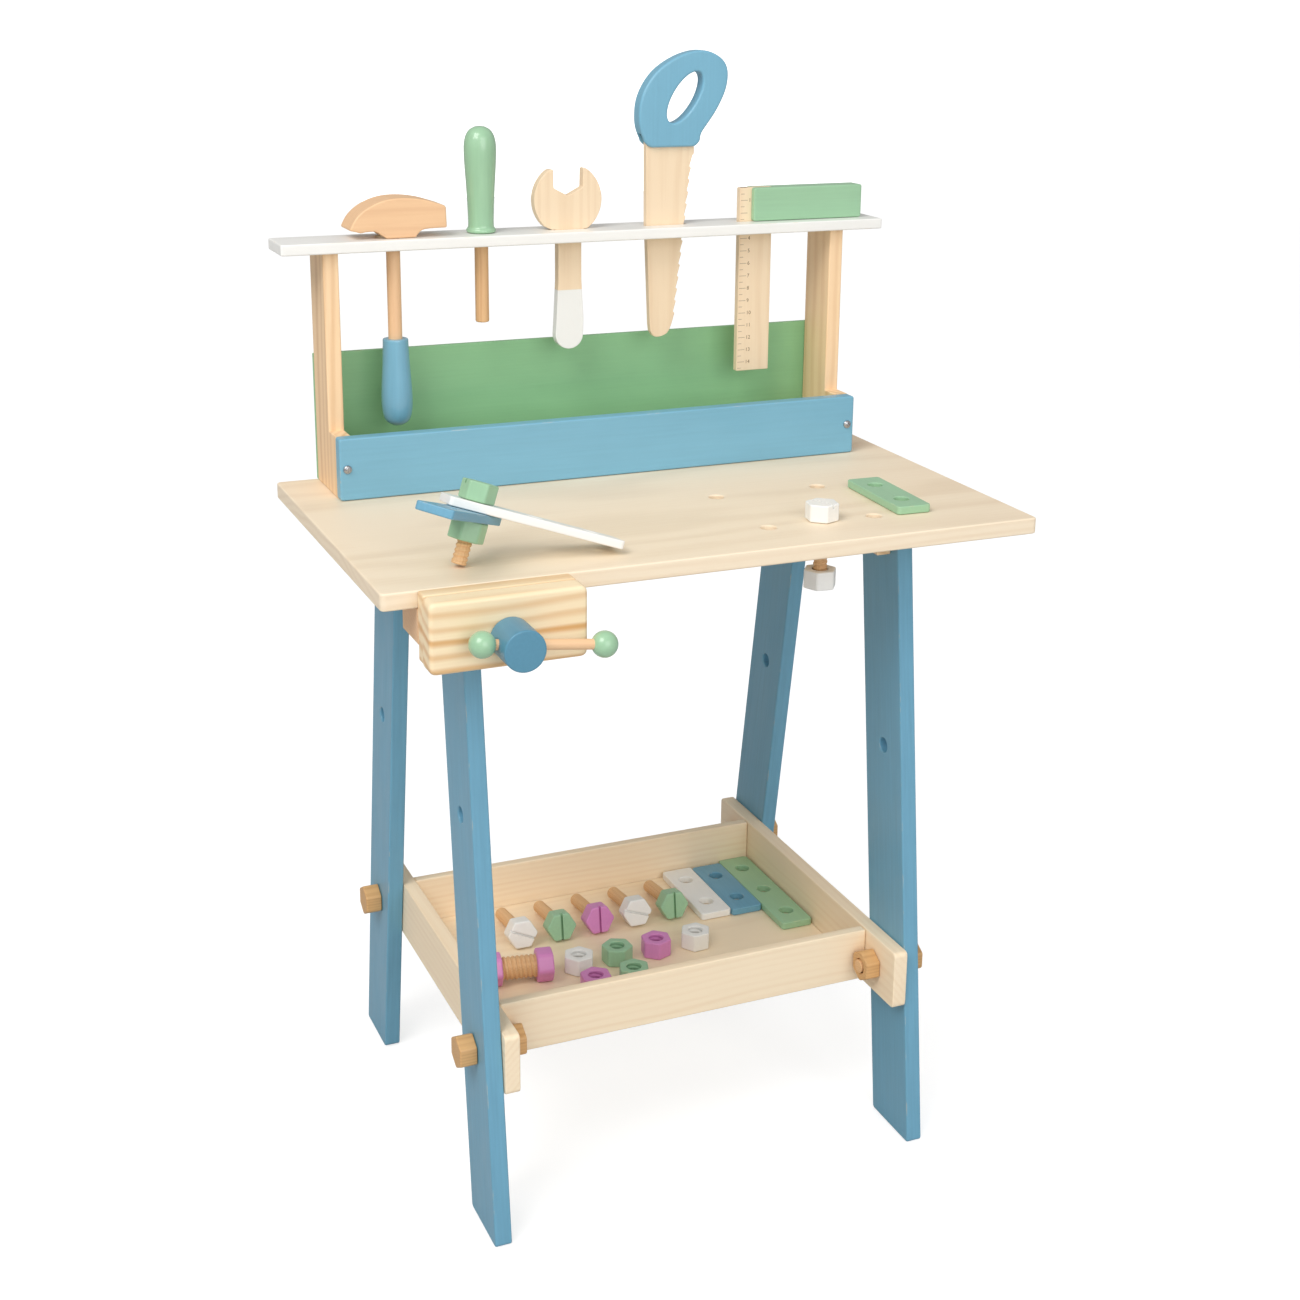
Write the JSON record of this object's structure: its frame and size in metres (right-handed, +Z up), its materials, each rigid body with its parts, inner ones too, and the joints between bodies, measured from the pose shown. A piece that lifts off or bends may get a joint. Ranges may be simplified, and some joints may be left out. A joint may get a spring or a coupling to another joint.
{
  "type": "toy workbench",
  "caption": "Wooden toy workbench with splayed legs, tool rack with hanging tools, front screw vise, lower bolt tray and loose play bolts, nuts and strips.",
  "frame": {"origin": "centre of the whole object's footprint box, on the floor", "axes": "+Z up, -Y towards the child standing in front, +X to that child's right, vise at -X"},
  "size_m": [0.49, 0.406, 0.8195],
  "materials": {
    "pale_wood": "clear matt lacquer, faint straight grain",
    "pine": "clear matt lacquer, strong grain",
    "beech": "bare turned wood",
    "blue_paint": "thin satin blue paint",
    "green_paint": "thin satin green paint",
    "white_paint": "thin satin white paint",
    "pink_paint": "thin satin pink paint",
    "steel": "zinc plated screw"
  },
  "bodies": {
    "bench": {"tabletop": "pale_wood", "leg_front_left": "blue_paint", "leg_front_right": "blue_paint", "leg_back_left": "blue_paint", "leg_back_right": "blue_paint", "leg_batten_left": "pine", "leg_batten_right": "pine", "rack_upright_left": "pine", "rack_upright_right": "pine", "rack_back_panel": "green_paint", "rack_front_board": "blue_paint", "rack_screw_left": "steel", "rack_screw_right": "steel", "tool_shelf": "white_paint", "tray_side_left": "pale_wood", "tray_side_right": "pale_wood", "tray_front_wall": "pale_wood", "tray_back_wall": "pale_wood", "tray_floor": "pale_wood", "tray_bolt_front_left": "beech", "tray_bolt_front_right": "beech", "tray_bolt_back_left": "beech", "tray_bolt_back_right": "beech", "tray_nut_front_left": "beech", "tray_nut_front_right": "beech", "tray_nut_back_left": "beech", "tray_nut_back_right": "beech", "vise_block": "pine", "vise_fixed_jaw": "pine"},
    "vise_jaw": {"vise_moving_jaw": "pine", "vise_guide_rod_left": "beech", "vise_guide_rod_right": "beech"},
    "vise_screw": {"vise_spindle": "beech", "vise_knob": "blue_paint"},
    "vise_handle": {"vise_bar": "beech", "vise_ball_left": "green_paint", "vise_ball_right": "green_paint"},
    "hammer": {"hammer_head": "beech", "hammer_shaft": "beech", "hammer_grip": "blue_paint"},
    "screwdriver": {"screwdriver_handle": "green_paint", "screwdriver_shaft": "beech"},
    "wrench": {"wrench": "pale_wood"},
    "saw": {"saw_blade": "pale_wood", "saw_handle": "blue_paint"},
    "try_square": {"square_stock": "green_paint", "square_ruler": "pale_wood"},
    "table_bolt": {"table_bolt": "white_paint"},
    "table_nut": {"table_nut": "white_paint"},
    "table_strip": {"table_strip": "green_paint"},
    "demo_bolt": {"demo_bolt": "green_paint"},
    "demo_nut": {"demo_nut": "green_paint"},
    "demo_white_strip": {"demo_white_strip": "white_paint"},
    "demo_blue_strip": {"demo_blue_strip": "blue_paint"},
    "tray_strip_white": {"tray_strip_white": "white_paint"},
    "tray_strip_blue": {"tray_strip_blue": "blue_paint"},
    "tray_strip_green": {"tray_strip_green": "green_paint"},
    "tray_bolt_green": {"tray_loose_bolt_green": "green_paint"},
    "tray_bolt_pink": {"tray_loose_bolt_pink": "pink_paint"},
    "tray_nut_pink": {"tray_loose_nut_pink": "pink_paint"}
  },
  "joints": [
    {"name": "vise_jaw_slide", "type": "slide", "parent": "bench", "child": "vise_jaw", "axis": [0, -1, 0], "range_m": [0, 0.028]},
    {"name": "vise_screw_turn", "type": "hinge", "parent": "vise_jaw", "child": "vise_screw", "pos_m": [-0.1695, -0.1556, 0.472], "axis": [0, -1, 0], "range_deg": [0, 2520]},
    {"name": "vise_bar_slide", "type": "slide", "parent": "vise_screw", "child": "vise_handle", "axis": [0.9921, 0, -0.1253], "range_m": [-0.035, 0.0005]},
    {"name": "hammer_lift", "type": "slide", "parent": "bench", "child": "hammer", "axis": [0, 0, 1], "range_m": [0, 0.15]},
    {"name": "screwdriver_lift", "type": "slide", "parent": "bench", "child": "screwdriver", "axis": [0, 0, 1], "range_m": [0, 0.075]},
    {"name": "wrench_lift", "type": "slide", "parent": "bench", "child": "wrench", "axis": [0, 0, 1], "range_m": [0, 0.1]},
    {"name": "saw_lift", "type": "slide", "parent": "bench", "child": "saw", "axis": [0, 0, 1], "range_m": [0, 0.095]},
    {"name": "square_lift", "type": "slide", "parent": "bench", "child": "try_square", "axis": [0, 0, 1], "range_m": [0, 0.125]},
    {"name": "table_bolt_turn", "type": "hinge", "parent": "bench", "child": "table_bolt", "pos_m": [0.0955, -0.091, 0.5], "axis": [0, 0, 1], "continuous": true},
    {"name": "table_nut_turn", "type": "hinge", "parent": "table_bolt", "child": "table_nut", "pos_m": [0.0955, -0.091, 0.4565], "axis": [0, 0, 1], "continuous": true},
    {"name": "table_strip_lift", "type": "slide", "parent": "bench", "child": "table_strip", "axis": [0, 0, 1], "range_m": [0, 0.06]},
    {"name": "demo_bolt_lift", "type": "slide", "parent": "bench", "child": "demo_bolt", "axis": [0, 0, 1], "range_m": [0, 0.08]},
    {"name": "demo_nut_turn", "type": "hinge", "parent": "demo_bolt", "child": "demo_nut", "pos_m": [-0.1816, -0.1052, 0.50213], "axis": [0.3321, 0.1163, 0.9361], "continuous": true},
    {"name": "demo_white_swing", "type": "hinge", "parent": "demo_bolt", "child": "demo_white_strip", "pos_m": [-0.1816, -0.1052, 0.50213], "axis": [0.3321, 0.1163, 0.9361], "range_deg": [-60, 0]},
    {"name": "demo_blue_swing", "type": "hinge", "parent": "demo_bolt", "child": "demo_blue_strip", "pos_m": [-0.1816, -0.1052, 0.50213], "axis": [0.3321, 0.1163, 0.9361], "range_deg": [-20, 20]},
    {"name": "tray_strip_white_lift", "type": "slide", "parent": "bench", "child": "tray_strip_white", "axis": [0, 0, 1], "range_m": [0, 0.06]},
    {"name": "tray_strip_blue_lift", "type": "slide", "parent": "bench", "child": "tray_strip_blue", "axis": [0, 0, 1], "range_m": [0, 0.06]},
    {"name": "tray_strip_green_lift", "type": "slide", "parent": "bench", "child": "tray_strip_green", "axis": [0, 0, 1], "range_m": [0, 0.06]},
    {"name": "tray_bolt_green_lift", "type": "slide", "parent": "bench", "child": "tray_bolt_green", "axis": [0, 0, 1], "range_m": [0, 0.06]},
    {"name": "tray_bolt_pink_lift", "type": "slide", "parent": "bench", "child": "tray_bolt_pink", "axis": [0, 0, 1], "range_m": [0, 0.06]},
    {"name": "tray_nut_pink_lift", "type": "slide", "parent": "bench", "child": "tray_nut_pink", "axis": [0, 0, 1], "range_m": [0, 0.06]}
  ],
  "couplings": [
    {"joint": "vise_screw_turn", "follows": "vise_jaw_slide", "rad_per_m": 1570.8}
  ]
}
